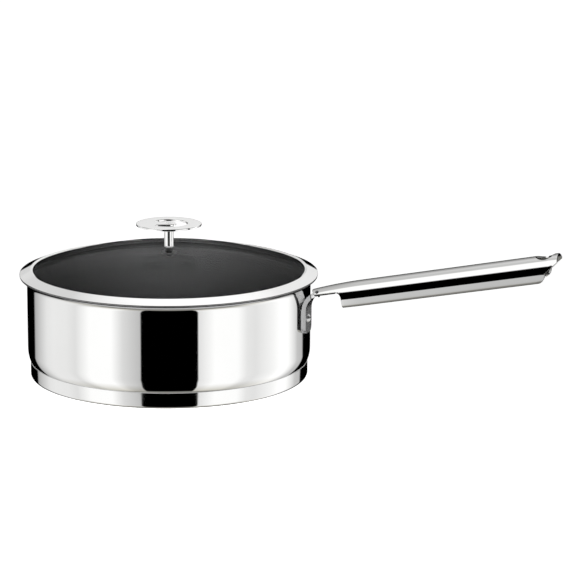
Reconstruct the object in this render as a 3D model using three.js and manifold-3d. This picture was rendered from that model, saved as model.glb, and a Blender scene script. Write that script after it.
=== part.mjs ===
// Deep saute pan with a pouring lip, a sandwich base, a half-tube handle and a domed glass lid.
// Millimetres, +Z up. The origin is the middle of the base where it meets the hob, and the handle runs along +X.
import * as THREE from "three";
import { mergeVertices } from "three/addons/utils/BufferGeometryUtils.js";
import Module from "manifold-3d";

const wasm = await Module();
wasm.setup();

// Driving dimensions of the pan body
const PAN_INNER_RADIUS = 120;
const WALL = 1;
const RIM_HEIGHT = 87.9;
const LIP_BEND = 6.5;
const LIP_OVERTURN = THREE.MathUtils.degToRad(5);
const CORNER_IN = 10;
const CORNER_UP = 17;

// Driving dimensions of the sandwich base
const CAP_SHEET = 0.8;
const CAP_INSET = 2.2;
const CAP_CORNER = 2.6;
const CORE_THICKNESS = 7;
const SEAM_GAP = 0.3;

// Driving dimensions of the handle and the bracket that holds it
const HANDLE_STANDOFF = 9.5;
const HANDLE_HEIGHT = 72.4;
const HANDLE_SLOPE = THREE.MathUtils.degToRad(11.4);
const GRIP_LENGTH = 214;
const GRIP_SHEET = 1.5;
const GRIP_RADIUS_NECK = 13.3;
const GRIP_RADIUS_TIP = 14.25;
const GRIP_LEG = 3.2;
const GRIP_CURL = 3.2;
const NECK_LENGTH = 26.8;
const NECK_EDGE = 7.5;
const NECK_FILLET = 5.5;
const NECK_END_ROUND = 14;
const NECK_NARROWING = 0.18;
const NARROWED_LENGTH = 45;
const TIP_SQUARE = 5.4;
const TIP_SLANT = 11.3;
const TIP_CORNER = 8;
const HANG_HOLE_RADIUS = 7.9;
const HANG_HOLE_FROM_TIP = 11.5;
const STRAP_WIDTH = 17;
const STRAP_THICKNESS = 3.6;
const STRAP_BOTTOM = 45.6;
const STRAP_CORNER = 4.5;
const STRAP_BEND = 14;
const STRAP_REACH = 21;
const SEAT_GAP = 0.3;

// Driving dimensions of the fasteners
const RIVET_RADIUS = 2.5;
const RIVET_ABOVE_BOTTOM = 12;
const RIVET_HEAD_RADIUS = 3.7;
const RIVET_HEAD_HEIGHT = 2;
const RIVET_INNER_HEAD_RADIUS = 4.6;
const RIVET_INNER_HEAD_HEIGHT = 1.3;
const NECK_RIVET_RADIUS = 0.9;
const NECK_RIVET_HEAD_RADIUS = 1.5;
const NECK_RIVET_HEAD_HEIGHT = 0.5;
const NECK_RIVET_FROM_END = 5.5;
const NECK_RIVET_TILT = 37;
const HOLE_CLEARANCE = 0.3;

// Driving dimensions of the lid
const LID_SEAT_GAP = 0.3;
const BAND_SHEET = 0.7;
const FLANGE_REACH = 7.35;
const FLANGE_SLOPE = THREE.MathUtils.degToRad(23);
const SKIRT_CLEARANCE = 0.6;
const SKIRT_DEPTH = 6.4;
const CREST_INSET = 1.9;
const CRIMP_WIDTH = 2.2;
const CRIMP_STEP = 1.6;
const LEDGE_WIDTH = 3.2;
const GLASS_THICKNESS = 4;
const GLASS_DOME_RADIUS = 351.7;
const GLASS_EDGE_GAP = 0.4;
const GLASS_HOLE_RADIUS = 3.5;

// Driving dimensions of the knob
const KNOB_RADIUS = 28;
const KNOB_HOLE_RADIUS = 16;
const KNOB_THICKNESS = 2;
const KNOB_EDGE = 0.5;
const TONGUE_WIDTH = 13;
const TONGUE_FILLET = 3;
// The lid lies turned on the pan, so the tongue doesn't point along the handle
const TONGUE_TURN = THREE.MathUtils.degToRad(20);
const STEM_RADIUS = 4.1;
const STEM_HEIGHT = 17.7;
const SPIGOT_RADIUS = 2.5;
const SCREW_RADIUS = 2.5;
const SCREW_REACH = 10;
const SCREW_HEAD_RADIUS = 4.2;
const SCREW_HEAD_HEIGHT = 2.6;
const SCREW_SOCKET_RADIUS = 1.5;
const SCREW_SOCKET_DEPTH = 1.4;
const WASHER_RADIUS = 6.5;
const WASHER_THICKNESS = 1;
const GASKET_THICKNESS = 0.9;
const LOWER_GASKET_RADIUS = 7;
const GASKET_GAP = 0.1;

// How finely round forms are drawn
const PAN_SIDES = 56;
const SMALL_SIDES = 20;
const CORNER_STEPS = 6;
const BEND_STEPS = 5;
const DOME_STEPS = 6;
const ARC_STEPS = 12;
const NECK_STEPS = 5;

// Sizes that follow from the driving dimensions
const panOuterRadius = PAN_INNER_RADIUS + WALL;
const shellUnderside = CAP_SHEET + CORE_THICKNESS;
const capRadius = panOuterRadius - CAP_INSET;
const lipBendHeight = RIM_HEIGHT - LIP_BEND;
const lipBendRadius = PAN_INNER_RADIUS + LIP_BEND;
const lipEdgeRadius = lipBendRadius + LIP_BEND * Math.sin(LIP_OVERTURN);
const lipEdgeHeight = lipBendHeight + LIP_BEND * Math.cos(LIP_OVERTURN);
const rivetHeight = STRAP_BOTTOM + RIVET_ABOVE_BOTTOM;
const strapFront = panOuterRadius + SEAT_GAP + STRAP_THICKNESS;
const handleRoot = panOuterRadius + HANDLE_STANDOFF;
const gripTaper = GRIP_RADIUS_TIP / GRIP_RADIUS_NECK;
const barRadius = (GRIP_RADIUS_NECK - GRIP_SHEET) * gripGrowth(0) - SEAT_GAP;
const barBottom = barRadius - STRAP_THICKNESS;
const crestRadius = PAN_INNER_RADIUS - CREST_INSET;
const crimpRadius = crestRadius - CRIMP_WIDTH;
const skirtRadius = PAN_INNER_RADIUS - SKIRT_CLEARANCE;
const skirtInnerRadius = skirtRadius - BAND_SHEET;
const glassRadius = skirtInnerRadius - GLASS_EDGE_GAP;
const flangeRadius = PAN_INNER_RADIUS + FLANGE_REACH;

// Materials
const polishedSteel = steel(0xd9d9d7, 0.08);
const satinSteel = steel(0xc4c4c2, 0.3);
const aluminium = new THREE.MeshStandardMaterial({ color: 0xb9bbbd, roughness: 0.45, metalness: 1 });
const silicone = new THREE.MeshStandardMaterial({ color: 0xd8d8d4, roughness: 0.6, metalness: 0 });
const clearGlass = new THREE.MeshStandardMaterial({
  color: 0xeaf1ee,
  roughness: 0.03,
  metalness: 0,
  transparent: true,
  opacity: 0.35,
});

function steel(color, roughness) {
  return new THREE.MeshStandardMaterial({ color, roughness, metalness: 1 });
}

// A closed geometry as a solid that can be cut and joined
function solid(geometry) {
  const bare = new THREE.BufferGeometry();
  const source = geometry.index ? geometry.toNonIndexed() : geometry;
  bare.setAttribute("position", source.getAttribute("position"));
  const merged = mergeVertices(bare, 1e-4);
  return new wasm.Manifold(
    new wasm.Mesh({
      numProp: 3,
      vertProperties: merged.getAttribute("position").array,
      triVerts: new Uint32Array(merged.index.array),
    }),
  );
}

function named(name, material, body) {
  const { vertProperties, triVerts } = body.getMesh();
  const geometry = new THREE.BufferGeometry();
  geometry.setAttribute("position", new THREE.BufferAttribute(new Float32Array(vertProperties), 3));
  geometry.setIndex(new THREE.BufferAttribute(new Uint32Array(triVerts), 1));
  geometry.computeVertexNormals();
  const mesh = new THREE.Mesh(geometry, material);
  mesh.name = name;
  return mesh;
}

// A profile of [radius, height] points turned about the Z axis, drawn with its outside on the right as it climbs
function revolve(profile, sides) {
  const points = profile.map(([radius, height]) => new THREE.Vector2(radius, height));
  return solid(new THREE.LatheGeometry(points, sides).rotateX(Math.PI / 2));
}

// A ring is a profile that closes on itself away from the axis
function revolveRing(profile, sides) {
  return revolve([...profile, profile[0]], sides);
}

function washer(inner, outer, bottom, top) {
  return revolveRing(
    [
      [inner, bottom],
      [outer, bottom],
      [outer, top],
      [inner, top],
    ],
    SMALL_SIDES,
  );
}

function rod(radius, bottom, top, sides = SMALL_SIDES) {
  return revolve(
    [
      [0, bottom],
      [radius, bottom],
      [radius, top],
      [0, top],
    ],
    sides,
  );
}

// A shape drawn in (Y, Z) and pushed along X
function extrudeAlongX(shape, from, to, steps = 1) {
  const geometry = new THREE.ExtrudeGeometry(shape, {
    depth: to - from,
    steps,
    bevelEnabled: false,
    curveSegments: ARC_STEPS,
  });
  const turn = new THREE.Matrix4().makeBasis(
    new THREE.Vector3(0, 1, 0),
    new THREE.Vector3(0, 0, 1),
    new THREE.Vector3(1, 0, 0),
  );
  return geometry.applyMatrix4(turn).translate(from, 0, 0);
}

// A shape drawn in (X, Z) and pushed equally to both sides along Y
function extrudeAlongY(shape, halfWidth) {
  const geometry = new THREE.ExtrudeGeometry(shape, {
    depth: 2 * halfWidth,
    bevelEnabled: false,
    curveSegments: ARC_STEPS,
  });
  return geometry.rotateX(Math.PI / 2).translate(0, halfWidth, 0);
}

function extrudeAlongZ(shape, from, to) {
  const geometry = new THREE.ExtrudeGeometry(shape, {
    depth: to - from,
    bevelEnabled: false,
    curveSegments: ARC_STEPS,
  });
  return geometry.translate(0, 0, from);
}

function polygon(points) {
  return new THREE.Shape(points.map(([a, b]) => new THREE.Vector2(a, b)));
}

// Points on an arc, ends included
function arc(centre, radius, from, to, steps) {
  return Array.from({ length: steps + 1 }, (_, i) => {
    const angle = from + ((to - from) * i) / steps;
    return [centre[0] + radius * Math.cos(angle), centre[1] + radius * Math.sin(angle)];
  });
}

// Pan body: one drawn sheet from the floor, round an elliptical corner, up the wall and out to the pouring lip

// The corner's curve from the floor up to the wall, moved in by the sheet or out by a gap
function cornerCurve(offset, floor, sheet) {
  const reachIn = CORNER_IN - sheet;
  const reachUp = CORNER_UP - sheet;
  const middle = panOuterRadius - CORNER_IN + offset;
  return Array.from({ length: CORNER_STEPS + 1 }, (_, i) => {
    const angle = (Math.PI / 2) * (i / CORNER_STEPS);
    return [middle + reachIn * Math.sin(angle), floor + reachUp * (1 - Math.cos(angle))];
  });
}

function panShell() {
  const bend = [lipBendRadius, lipBendHeight];
  const lipEnd = Math.PI / 2 - LIP_OVERTURN;
  const shell = revolve(
    [
      [0, shellUnderside],
      ...cornerCurve(0, shellUnderside, 0),
      ...arc(bend, LIP_BEND - WALL, Math.PI, lipEnd, BEND_STEPS),
      ...arc(bend, LIP_BEND, lipEnd, Math.PI, BEND_STEPS),
      ...cornerCurve(0, shellUnderside + WALL, WALL).reverse(),
      [0, shellUnderside + WALL],
    ],
    PAN_SIDES,
  );
  return shell.subtract(rivetHole());
}

// Sandwich base: an aluminium heat-spreading disc held under the floor by a steel cap
function baseCap() {
  const inner = capRadius - CAP_SHEET;
  const corner = [capRadius - CAP_CORNER, CAP_CORNER];
  return revolve(
    [
      [0, 0],
      ...arc(corner, CAP_CORNER, -Math.PI / 2, 0, BEND_STEPS),
      [capRadius, cornerHeight(capRadius - SEAM_GAP)],
      [inner, cornerHeight(inner - SEAM_GAP)],
      ...arc(corner, CAP_CORNER - CAP_SHEET, 0, -Math.PI / 2, BEND_STEPS),
      [0, CAP_SHEET],
    ],
    PAN_SIDES,
  );
}

// Height of the shell's outer corner at a radius
function cornerHeight(radius) {
  const across = (radius - (panOuterRadius - CORNER_IN)) / CORNER_IN;
  return shellUnderside + CORNER_UP * (1 - Math.sqrt(1 - across * across));
}

function baseCore() {
  const radius = capRadius - CAP_SHEET - SEAM_GAP;
  const round = CAP_CORNER - CAP_SHEET;
  const top = cornerCurve(SEAM_GAP, shellUnderside, 0).filter((point) => point[0] < radius);
  return revolve(
    [
      [0, CAP_SHEET],
      ...arc([radius - round, CAP_CORNER], round, -Math.PI / 2, 0, BEND_STEPS),
      [radius, cornerHeight(radius - SEAM_GAP)],
      ...top.reverse(),
      [0, shellUnderside],
    ],
    PAN_SIDES,
  );
}

// Wall rivet, through the wall and the middle of the bracket
function rivetHole() {
  const reach = strapFront + RIVET_HEAD_HEIGHT;
  return onWall(rod(RIVET_RADIUS + HOLE_CLEARANCE, PAN_INNER_RADIUS / 2, reach));
}

// Turns a body that stands on Z so that it points out through the wall below the handle
function onWall(body) {
  return body.rotate([0, 90, 0]).translate([0, 0, rivetHeight]);
}

// A shallow dome from its rim to the axis
function domeProfile(rimRadius, base, height) {
  const ball = (rimRadius * rimRadius + height * height) / (2 * height);
  const half = Math.asin(rimRadius / ball);
  return arc([0, base + height - ball], ball, Math.PI / 2 - half, Math.PI / 2, BEND_STEPS);
}

function wallRivet() {
  const wallInside = Math.sqrt(PAN_INNER_RADIUS ** 2 - RIVET_INNER_HEAD_RADIUS ** 2) - SEAT_GAP;
  const innerHead = domeProfile(RIVET_INNER_HEAD_RADIUS, 0, RIVET_INNER_HEAD_HEIGHT);
  const outerHead = domeProfile(RIVET_HEAD_RADIUS, strapFront, RIVET_HEAD_HEIGHT);
  const rivet = revolve(
    [
      ...innerHead.map(([radius, height]) => [radius, wallInside - height]).reverse(),
      [RIVET_RADIUS, wallInside],
      [RIVET_RADIUS, strapFront],
      ...outerHead,
    ],
    SMALL_SIDES,
  );
  return onWall(rivet);
}

// Bracket: a strap that lies on the wall and bends out under the handle's neck

// A point along the handle's axis and square to it, in the pan's own X and Z
function alongHandle(along, up) {
  const c = Math.cos(HANDLE_SLOPE);
  const s = Math.sin(HANDLE_SLOPE);
  return [handleRoot + along * c - up * s, HANDLE_HEIGHT + along * s + up * c];
}

function bracketSide() {
  const back = panOuterRadius + SEAT_GAP;
  const outerBend = STRAP_BEND + STRAP_THICKNESS;
  const x = back + outerBend;
  const neckLine = HANDLE_HEIGHT + (x - handleRoot) * Math.tan(HANDLE_SLOPE);
  const bend = [x, neckLine + (barRadius - outerBend) / Math.cos(HANDLE_SLOPE)];
  const tangent = Math.PI / 2 + HANDLE_SLOPE;
  return polygon([
    [PAN_INNER_RADIUS, STRAP_BOTTOM],
    [strapFront, STRAP_BOTTOM],
    ...arc(bend, STRAP_BEND, Math.PI, tangent, ARC_STEPS),
    alongHandle(STRAP_REACH, barBottom),
    alongHandle(STRAP_REACH, barRadius),
    ...arc(bend, outerBend, tangent, Math.PI, ARC_STEPS),
    [PAN_INNER_RADIUS, bend[1]],
  ]);
}

function bracketFront() {
  const half = STRAP_WIDTH / 2;
  const top = HANDLE_HEIGHT + GRIP_RADIUS_NECK + STRAP_REACH;
  const corner = [half - STRAP_CORNER, STRAP_BOTTOM + STRAP_CORNER];
  const rightHalf = [...arc(corner, STRAP_CORNER, -Math.PI / 2, 0, BEND_STEPS), [half, top]];
  const leftHalf = rightHalf.map(([y, z]) => [-y, z]).reverse();
  return polygon([...rightHalf, ...leftHalf]);
}

// What the neck's hollow leaves of the strap: a bar with a rounded back
function outsideNeckHollow() {
  const wide = 3 * GRIP_RADIUS_NECK;
  const around = polygon([
    [-wide, -wide],
    [wide, -wide],
    [wide, wide],
    [-wide, wide],
  ]);
  around.holes.push(new THREE.Path().absarc(0, 0, barRadius, 0, 2 * Math.PI, true));
  return solid(onHandle(extrudeAlongX(around, -2 * SEAT_GAP, 2 * STRAP_REACH)));
}

function onHandle(geometry) {
  return geometry.rotateY(-HANDLE_SLOPE).translate(handleRoot, 0, HANDLE_HEIGHT);
}

// Neck rivets stand square to the neck's rounded back, one on each flank
function tiltedOnNeck(body, tilt) {
  return body.rotate([tilt, 0, 0]).translate([NECK_RIVET_FROM_END, 0, 0]);
}

function neckRivetTilts() {
  return [NECK_RIVET_TILT, -NECK_RIVET_TILT];
}

function neckRivetHoles() {
  const hole = rod(NECK_RIVET_RADIUS + HOLE_CLEARANCE, barBottom / 2, 2 * GRIP_RADIUS_NECK);
  const [right, left] = neckRivetTilts().map((tilt) => tiltedOnNeck(hole, tilt));
  return right.add(left);
}

function handleBracket() {
  const wallSide = rod(panOuterRadius + SEAT_GAP, 0, 2 * RIM_HEIGHT, PAN_SIDES);
  const neckHoles = neckRivetHoles()
    .rotate([0, -THREE.MathUtils.radToDeg(HANDLE_SLOPE), 0])
    .translate([handleRoot, 0, HANDLE_HEIGHT]);
  return solid(extrudeAlongY(bracketSide(), STRAP_WIDTH))
    .intersect(solid(extrudeAlongX(bracketFront(), PAN_INNER_RADIUS / 2, handleRoot + 2 * STRAP_REACH)))
    .subtract(outsideNeckHollow())
    .subtract(wallSide)
    .subtract(neckHoles)
    .subtract(rivetHole());
}

// Grip: a half tube, open underneath, whose lower edges curl inwards and whose neck keeps only the crown

// Half of the sheet's outline from the crown down to the curled edge
function gripHalf(offset) {
  const radius = GRIP_RADIUS_NECK - offset;
  const curl = GRIP_CURL - offset;
  const curlCentre = [GRIP_RADIUS_NECK - GRIP_CURL, -GRIP_LEG];
  return [
    ...arc([0, 0], radius, Math.PI / 2, 0, ARC_STEPS),
    ...arc(curlCentre, curl, 0, -Math.PI / 2, BEND_STEPS),
  ];
}

function gripSection() {
  const outside = gripHalf(0);
  const inside = gripHalf(GRIP_SHEET);
  const mirrored = (points) => points.slice(1).map(([y, z]) => [-y, z]);
  return polygon([
    ...outside,
    ...inside.reverse(),
    ...mirrored(inside.reverse()),
    ...mirrored(outside).reverse(),
  ]);
}

// The tube widens steadily from neck to tip, and its neck end draws in
function gripGrowth(along) {
  const widening = 1 + ((gripTaper - 1) * along) / GRIP_LENGTH;
  const drawnIn = Math.max(0, 1 - along / NARROWED_LENGTH);
  return widening * (1 - NECK_NARROWING * drawnIn * drawnIn);
}

// One layer of the section at each station along the tube
function taperedTube() {
  const stations = Array.from({ length: NECK_STEPS + 1 }, (_, i) => (NARROWED_LENGTH * i) / NECK_STEPS);
  stations.push(GRIP_LENGTH);
  const layers = stations.length - 1;
  const tube = extrudeAlongX(gripSection(), 0, layers, layers);
  const position = tube.getAttribute("position");
  for (let i = 0; i < position.count; i += 1) {
    const along = stations[Math.round(position.getX(i))];
    const grow = gripGrowth(along);
    position.setXYZ(i, along, position.getY(i) * grow, position.getZ(i) * grow);
  }
  return solid(tube);
}

// Seen from the side: what is cut away below the neck
function neckCut() {
  const far = 3 * GRIP_RADIUS_TIP;
  const fillet = [NECK_LENGTH - NECK_FILLET, NECK_EDGE - NECK_FILLET];
  return polygon([
    [-far, -far],
    [NECK_LENGTH, -far],
    ...arc(fillet, NECK_FILLET, 0, Math.PI / 2, BEND_STEPS),
    [-far, NECK_EDGE],
  ]);
}

// Seen from the side: what is cut away beyond the tip, which is square at the crown, then slants, then rounds
function tipCut() {
  const far = 3 * GRIP_RADIUS_TIP;
  const squareEnd = GRIP_RADIUS_TIP - TIP_SQUARE;
  const bottom = -(GRIP_LEG + GRIP_CURL) * gripTaper;
  const corner = [GRIP_LENGTH - TIP_SLANT - TIP_CORNER, bottom + TIP_CORNER];
  return polygon([
    [GRIP_LENGTH, far],
    [GRIP_LENGTH, squareEnd],
    ...arc(corner, TIP_CORNER, 0, -Math.PI / 2, BEND_STEPS),
    [corner[0], -far],
    [GRIP_LENGTH + far, -far],
    [GRIP_LENGTH + far, far],
  ]);
}

// Seen from above: what is cut away around the neck's rounded end
function neckEndCut() {
  const wide = 2 * GRIP_RADIUS_NECK;
  const half = Math.asin(Math.min(1, GRIP_RADIUS_NECK / NECK_END_ROUND));
  const end = arc([NECK_END_ROUND, 0], NECK_END_ROUND, Math.PI - half, Math.PI + half, ARC_STEPS);
  return polygon([...end, [end[ARC_STEPS][0], -wide], [-wide, -wide], [-wide, wide], [end[0][0], wide]]);
}

function handleGrip() {
  const far = 3 * GRIP_RADIUS_TIP;
  const hangHole = rod(HANG_HOLE_RADIUS, 0, far).translate([GRIP_LENGTH - HANG_HOLE_FROM_TIP, 0, 0]);
  return taperedTube()
    .subtract(solid(extrudeAlongY(neckCut(), far)))
    .subtract(solid(extrudeAlongY(tipCut(), far)))
    .subtract(solid(extrudeAlongZ(neckEndCut(), -far, far)))
    .subtract(hangHole)
    .subtract(neckRivetHoles());
}

function neckRivet(tilt) {
  const seat = GRIP_RADIUS_NECK * gripGrowth(NECK_RIVET_FROM_END);
  const foot = barBottom;
  const rivet = revolve(
    [
      [0, foot],
      [NECK_RIVET_RADIUS, foot],
      [NECK_RIVET_RADIUS, seat],
      ...domeProfile(NECK_RIVET_HEAD_RADIUS, seat + SEAT_GAP, NECK_RIVET_HEAD_HEIGHT),
    ],
    SMALL_SIDES,
  );
  return tiltedOnNeck(rivet, tilt);
}

// Lid, drawn from the level of the pan's rim

// The cone on which the flange rests at the lip's edge, moved square to itself
function restCone(radius, offset) {
  const fall = (radius - lipEdgeRadius) * Math.tan(FLANGE_SLOPE);
  return lipEdgeHeight - RIM_HEIGHT - fall + offset / Math.cos(FLANGE_SLOPE);
}

function flangeTop(radius) {
  return restCone(radius, LID_SEAT_GAP + BAND_SHEET);
}

function flangeUnderside(radius) {
  return restCone(radius, LID_SEAT_GAP);
}

const crestHeight = flangeTop(crestRadius);
const crimpHeight = crestHeight - CRIMP_STEP;
const domeMiddle = crimpHeight - Math.sqrt(GLASS_DOME_RADIUS ** 2 - crimpRadius ** 2);
const domeTop = domeMiddle + GLASS_DOME_RADIUS;

// Height of the glass at a radius, on its top face or a depth below it
function glassHeight(radius, depth) {
  return domeMiddle + Math.sqrt((GLASS_DOME_RADIUS - depth) ** 2 - radius ** 2);
}

function glassFace(depth) {
  return Array.from({ length: DOME_STEPS + 1 }, (_, i) => {
    const radius = GLASS_HOLE_RADIUS + ((glassRadius - GLASS_HOLE_RADIUS) * i) / DOME_STEPS;
    return [radius, glassHeight(radius, depth)];
  });
}

function lidGlass() {
  return revolveRing([...glassFace(GLASS_THICKNESS), ...glassFace(0).reverse()], PAN_SIDES);
}

// Steel band: a crimp over the glass, a sloping flange that rests on the lip, and a skirt that enters the pan
function lidBand() {
  const skirtTop = flangeUnderside(skirtRadius);
  const ledgeTop = glassHeight(glassRadius, GLASS_THICKNESS) - SEAT_GAP;
  const skirtBottom = Math.min(skirtTop - SKIRT_DEPTH, ledgeTop - BAND_SHEET);
  const crimpGap = crimpHeight + SEAT_GAP;
  return revolveRing(
    [
      [skirtInnerRadius - LEDGE_WIDTH, skirtBottom],
      [skirtRadius, skirtBottom],
      [skirtRadius, skirtTop],
      [flangeRadius, flangeUnderside(flangeRadius)],
      [flangeRadius, flangeTop(flangeRadius)],
      [crestRadius, crestHeight],
      [crestRadius - BAND_SHEET, crestHeight],
      [crimpRadius, crimpGap + BAND_SHEET],
      [crimpRadius, crimpGap],
      [skirtInnerRadius, crimpGap],
      [skirtInnerRadius, skirtBottom + BAND_SHEET],
      [skirtInnerRadius - LEDGE_WIDTH, skirtBottom + BAND_SHEET],
    ],
    PAN_SIDES,
  );
}

// Knob, drawn from the top of the glass: a flat ring whose tongue carries the stem

// The opening between the ring and its tongue
function knobOpening() {
  const half = TONGUE_WIDTH / 2;
  const filletUp = half + TONGUE_FILLET;
  const filletBack = -Math.sqrt((KNOB_HOLE_RADIUS - TONGUE_FILLET) ** 2 - filletUp ** 2);
  const turn = Math.atan2(filletUp, filletBack);
  return [
    ...arc([0, 0], KNOB_HOLE_RADIUS, -turn, turn, 3 * ARC_STEPS),
    ...arc([filletBack, filletUp], TONGUE_FILLET, turn, 1.5 * Math.PI, BEND_STEPS).slice(1),
    ...arc([0, 0], half, Math.PI / 2, -Math.PI / 2, ARC_STEPS),
    ...arc([filletBack, -filletUp], TONGUE_FILLET, Math.PI / 2, 2 * Math.PI - turn, BEND_STEPS).slice(0, -1),
  ];
}

function knobRing() {
  const bottom = GASKET_GAP + GASKET_THICKNESS + STEM_HEIGHT;
  const ring = new THREE.Shape().absarc(0, 0, KNOB_RADIUS, 0, 2 * Math.PI, false);
  ring.holes.push(new THREE.Path(knobOpening().map(([x, y]) => new THREE.Vector2(x, y))));
  const geometry = new THREE.ExtrudeGeometry(ring, {
    depth: KNOB_THICKNESS - 2 * KNOB_EDGE,
    bevelThickness: KNOB_EDGE,
    bevelSize: KNOB_EDGE,
    bevelOffset: -KNOB_EDGE,
    bevelSegments: 2,
    curveSegments: 2 * ARC_STEPS,
  });
  const spigotHole = rod(SPIGOT_RADIUS + HOLE_CLEARANCE, 0, 2 * bottom);
  geometry.rotateZ(TONGUE_TURN);
  return solid(geometry.translate(0, 0, bottom + KNOB_EDGE)).subtract(spigotHole);
}

function knobStem() {
  const foot = GASKET_GAP + GASKET_THICKNESS;
  const shoulder = foot + STEM_HEIGHT;
  const boreRadius = SCREW_RADIUS + HOLE_CLEARANCE;
  const boreTop = foot + SCREW_REACH + HOLE_CLEARANCE;
  return revolve(
    [
      [0, boreTop],
      [boreRadius, boreTop],
      [boreRadius, foot],
      [STEM_RADIUS, foot],
      [STEM_RADIUS, shoulder],
      [SPIGOT_RADIUS, shoulder],
      [SPIGOT_RADIUS, shoulder + KNOB_THICKNESS],
      [0, shoulder + KNOB_THICKNESS],
    ],
    SMALL_SIDES,
  );
}

function upperGasket() {
  return washer(SCREW_RADIUS + HOLE_CLEARANCE, STEM_RADIUS, GASKET_GAP, GASKET_GAP + GASKET_THICKNESS);
}

// Below the glass the stack runs down: gasket, washer, screw head
const lowerGasketTop = glassHeight(LOWER_GASKET_RADIUS, GLASS_THICKNESS) - domeTop - GASKET_GAP;
const washerTop = lowerGasketTop - GASKET_THICKNESS;
const screwSeat = washerTop - WASHER_THICKNESS;

function lowerGasket() {
  return washer(SCREW_RADIUS + HOLE_CLEARANCE, LOWER_GASKET_RADIUS, washerTop, lowerGasketTop);
}

function knobWasher() {
  return washer(SCREW_RADIUS + HOLE_CLEARANCE, WASHER_RADIUS, screwSeat, washerTop);
}

function knobScrew() {
  const tip = GASKET_GAP + GASKET_THICKNESS + SCREW_REACH;
  const headBottom = screwSeat - SCREW_HEAD_HEIGHT;
  const head = domeProfile(SCREW_HEAD_RADIUS, 0, SCREW_HEAD_HEIGHT);
  const screw = revolve(
    [
      ...head.map(([radius, height]) => [radius, screwSeat - height]).reverse(),
      [SCREW_RADIUS, screwSeat],
      [SCREW_RADIUS, tip],
      [0, tip],
    ],
    SMALL_SIDES,
  );
  const socket = rod(SCREW_SOCKET_RADIUS, headBottom - SCREW_HEAD_HEIGHT, headBottom + SCREW_SOCKET_DEPTH, 6);
  return screw.subtract(socket);
}

// The assembly
const pan = new THREE.Group();
pan.add(
  named("pan_shell", polishedSteel, panShell()),
  named("base_core", aluminium, baseCore()),
  named("base_cap", polishedSteel, baseCap()),
  named("handle_bracket", polishedSteel, handleBracket()),
  named("wall_rivet", polishedSteel, wallRivet()),
);

const handle = new THREE.Group();
handle.position.set(handleRoot, 0, HANDLE_HEIGHT);
handle.rotation.y = -HANDLE_SLOPE;
handle.add(named("handle_grip", polishedSteel, handleGrip()));
["right", "left"].forEach((side, i) => {
  handle.add(named(`neck_rivet_${side}`, satinSteel, neckRivet(neckRivetTilts()[i])));
});
pan.add(handle);

const knob = new THREE.Group();
knob.position.z = domeTop;
knob.add(
  named("knob_ring", polishedSteel, knobRing()),
  named("knob_stem", polishedSteel, knobStem()),
  named("knob_gasket_upper", silicone, upperGasket()),
  named("knob_gasket_lower", silicone, lowerGasket()),
  named("knob_washer", satinSteel, knobWasher()),
  named("knob_screw", satinSteel, knobScrew()),
);

const lid = new THREE.Group();
lid.position.z = RIM_HEIGHT;
lid.add(named("lid_glass", clearGlass, lidGlass()), named("lid_band", polishedSteel, lidBand()), knob);

const sautePan = new THREE.Group();
sautePan.add(pan, lid);

export default sautePan;
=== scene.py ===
"""Looks of the deep saute pan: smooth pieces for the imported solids, a plain studio and the photo's camera."""
import math

import bpy
from mathutils import Matrix, Vector
from mathutils.geometry import delaunay_2d_cdt


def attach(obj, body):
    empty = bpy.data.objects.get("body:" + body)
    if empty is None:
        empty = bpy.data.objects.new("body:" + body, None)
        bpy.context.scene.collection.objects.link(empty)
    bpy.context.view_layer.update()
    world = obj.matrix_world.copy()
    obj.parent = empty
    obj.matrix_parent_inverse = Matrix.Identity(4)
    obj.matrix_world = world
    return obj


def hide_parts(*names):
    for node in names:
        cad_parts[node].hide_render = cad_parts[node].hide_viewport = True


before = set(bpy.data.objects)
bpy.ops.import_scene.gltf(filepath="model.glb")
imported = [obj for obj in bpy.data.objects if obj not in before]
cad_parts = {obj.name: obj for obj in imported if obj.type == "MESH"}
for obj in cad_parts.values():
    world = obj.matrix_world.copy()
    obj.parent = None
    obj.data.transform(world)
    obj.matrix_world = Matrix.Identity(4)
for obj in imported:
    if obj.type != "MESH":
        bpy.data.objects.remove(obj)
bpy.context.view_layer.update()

MM = 0.001

# Sizes of the pan body, in millimetres
PAN_INNER_RADIUS = 120
WALL = 1
PAN_OUTER_RADIUS = PAN_INNER_RADIUS + WALL
RIM_HEIGHT = 87.9
LIP_BEND = 6.5
LIP_OVERTURN = math.radians(5)
LIP_BEND_CENTRE = (PAN_INNER_RADIUS + LIP_BEND, RIM_HEIGHT - LIP_BEND)
LIP_EDGE_RADIUS = LIP_BEND_CENTRE[0] + LIP_BEND * math.sin(LIP_OVERTURN)
LIP_EDGE_HEIGHT = LIP_BEND_CENTRE[1] + LIP_BEND * math.cos(LIP_OVERTURN)
COATING_FROM_RIM = 2.5
CORNER_IN = 10
CORNER_UP = 17

# Sizes of the sandwich base
CAP_SHEET = 0.8
CAP_RADIUS = PAN_OUTER_RADIUS - 2.2
CAP_CORNER = 2.6
CAP_EDGE = 0.1
SHELL_UNDERSIDE = CAP_SHEET + 7
SEAM_GAP = 0.3

# Sizes of the handle
HANDLE_ROOT = PAN_OUTER_RADIUS + 9.5
HANDLE_HEIGHT = 72.4
HANDLE_SLOPE = math.radians(11.4)
GRIP_LENGTH = 214
GRIP_SHEET = 1.5
GRIP_RADIUS_NECK = 13.3
GRIP_RADIUS_TIP = 14.25
GRIP_TAPER = GRIP_RADIUS_TIP / GRIP_RADIUS_NECK
GRIP_LEG = 3.2
GRIP_CURL = 3.2
GRIP_EDGE = 0.25
NECK_LENGTH = 26.8
NECK_EDGE = 7.5
NECK_FILLET = 5.5
NECK_END_ROUND = 14
NECK_NARROWING = 0.18
NARROWED_LENGTH = 45
TIP_SQUARE = 5.4
TIP_SLANT = 11.3
TIP_CORNER = 8
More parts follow.
